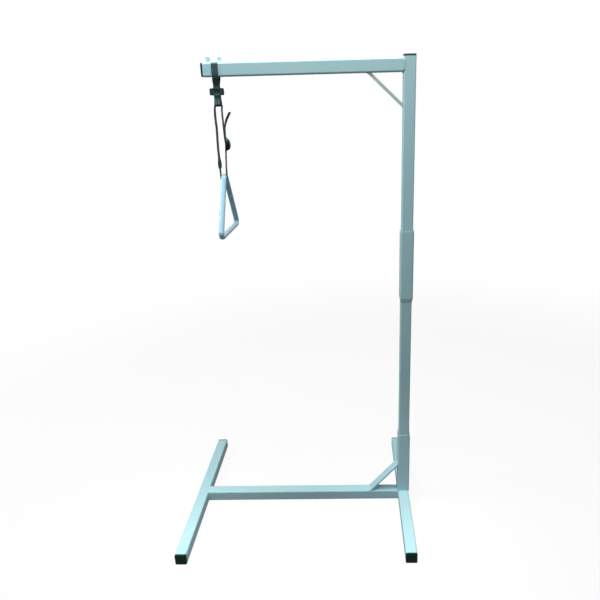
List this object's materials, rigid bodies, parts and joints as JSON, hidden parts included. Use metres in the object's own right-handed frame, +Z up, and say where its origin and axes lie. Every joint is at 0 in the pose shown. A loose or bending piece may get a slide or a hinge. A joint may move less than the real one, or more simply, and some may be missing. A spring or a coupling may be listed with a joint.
{
  "type": "bed trapeze",
  "caption": "Free-standing bed trapeze: an H-shaped tube base, a two-part square mast, an arm with pegs, and a webbing sling with a triangular hand grip.",
  "frame": {"origin": "on the floor under the mast's axis, at the middle of the right crossbar's underside", "axes": "+Z up; the arm and the base's stringer reach along -X; +Y is away from the viewer, along the crossbars"},
  "size_m": [0.8315, 0.69, 1.6205],
  "materials": {
    "frame_paint": "semi-gloss pale blue-grey powder coat on welded steel tube",
    "plug_plastic": "black moulded plastic, satin",
    "webbing": "dark woven nylon webbing",
    "buckle_plastic": "dark moulded plastic, satin",
    "grip_plastic": "pale blue smooth moulded plastic"
  },
  "bodies": {
    "base": {"right_crossbar": "frame_paint", "left_crossbar": "frame_paint", "stringer": "frame_paint", "base_socket": "frame_paint", "lower_brace": "frame_paint", "right_front_plug": "plug_plastic", "right_rear_plug": "plug_plastic", "left_front_plug": "plug_plastic", "left_rear_plug": "plug_plastic"},
    "lower_mast": {"lower_post": "frame_paint", "coupling_sleeve": "frame_paint"},
    "upper_mast": {"upper_post": "frame_paint", "arm": "frame_paint", "upper_brace": "frame_paint", "post_top_plug": "plug_plastic", "arm_end_plug": "plug_plastic", "outer_sling_peg": "frame_paint", "inner_sling_peg": "frame_paint"},
    "hanger": {"hanger_loop": "webbing", "slide_buckle": "buckle_plastic"},
    "strap": {"grip_strap": "webbing"},
    "adjuster": {"strap_adjuster": "buckle_plastic", "strap_tail": "webbing"},
    "bight": {"grip_bight": "webbing"},
    "grip": {"hand_grip": "grip_plastic"}
  },
  "joints": [
    {"name": "lower_mast_lift", "type": "slide", "parent": "base", "child": "lower_mast", "axis": [0, 0, 1], "range_m": [0, 0.24]},
    {"name": "upper_mast_lift", "type": "slide", "parent": "lower_mast", "child": "upper_mast", "axis": [0, 0, 1], "range_m": [0, 0.115]},
    {"name": "sling_swing", "type": "hinge", "parent": "upper_mast", "child": "hanger", "pos_m": [-0.591, 0, 1.552], "axis": [1, 0, 0], "range_deg": [-60, 60], "deforming": ["hanger_loop"]},
    {"name": "sling_sway", "type": "hinge", "parent": "hanger", "child": "strap", "pos_m": [-0.59, 0, 1.481], "axis": [0, 1, 0], "range_deg": [-60, 60]},
    {"name": "grip_height", "type": "slide", "parent": "strap", "child": "bight", "axis": [0, 0, 1], "range_m": [0, 0.05], "deforming": ["grip_strap"]},
    {"name": "adjuster_travel", "type": "slide", "parent": "strap", "child": "adjuster", "axis": [0, 0, 1], "range_m": [0, 0.0305]},
    {"name": "grip_tilt", "type": "hinge", "parent": "bight", "child": "grip", "pos_m": [-0.594, 0, 1.247], "axis": [1, 0, 0], "range_deg": [-30, 30]}
  ],
  "couplings": [
    {"joint": "adjuster_travel", "follows": "grip_height", "ratio": 0.607}
  ]
}
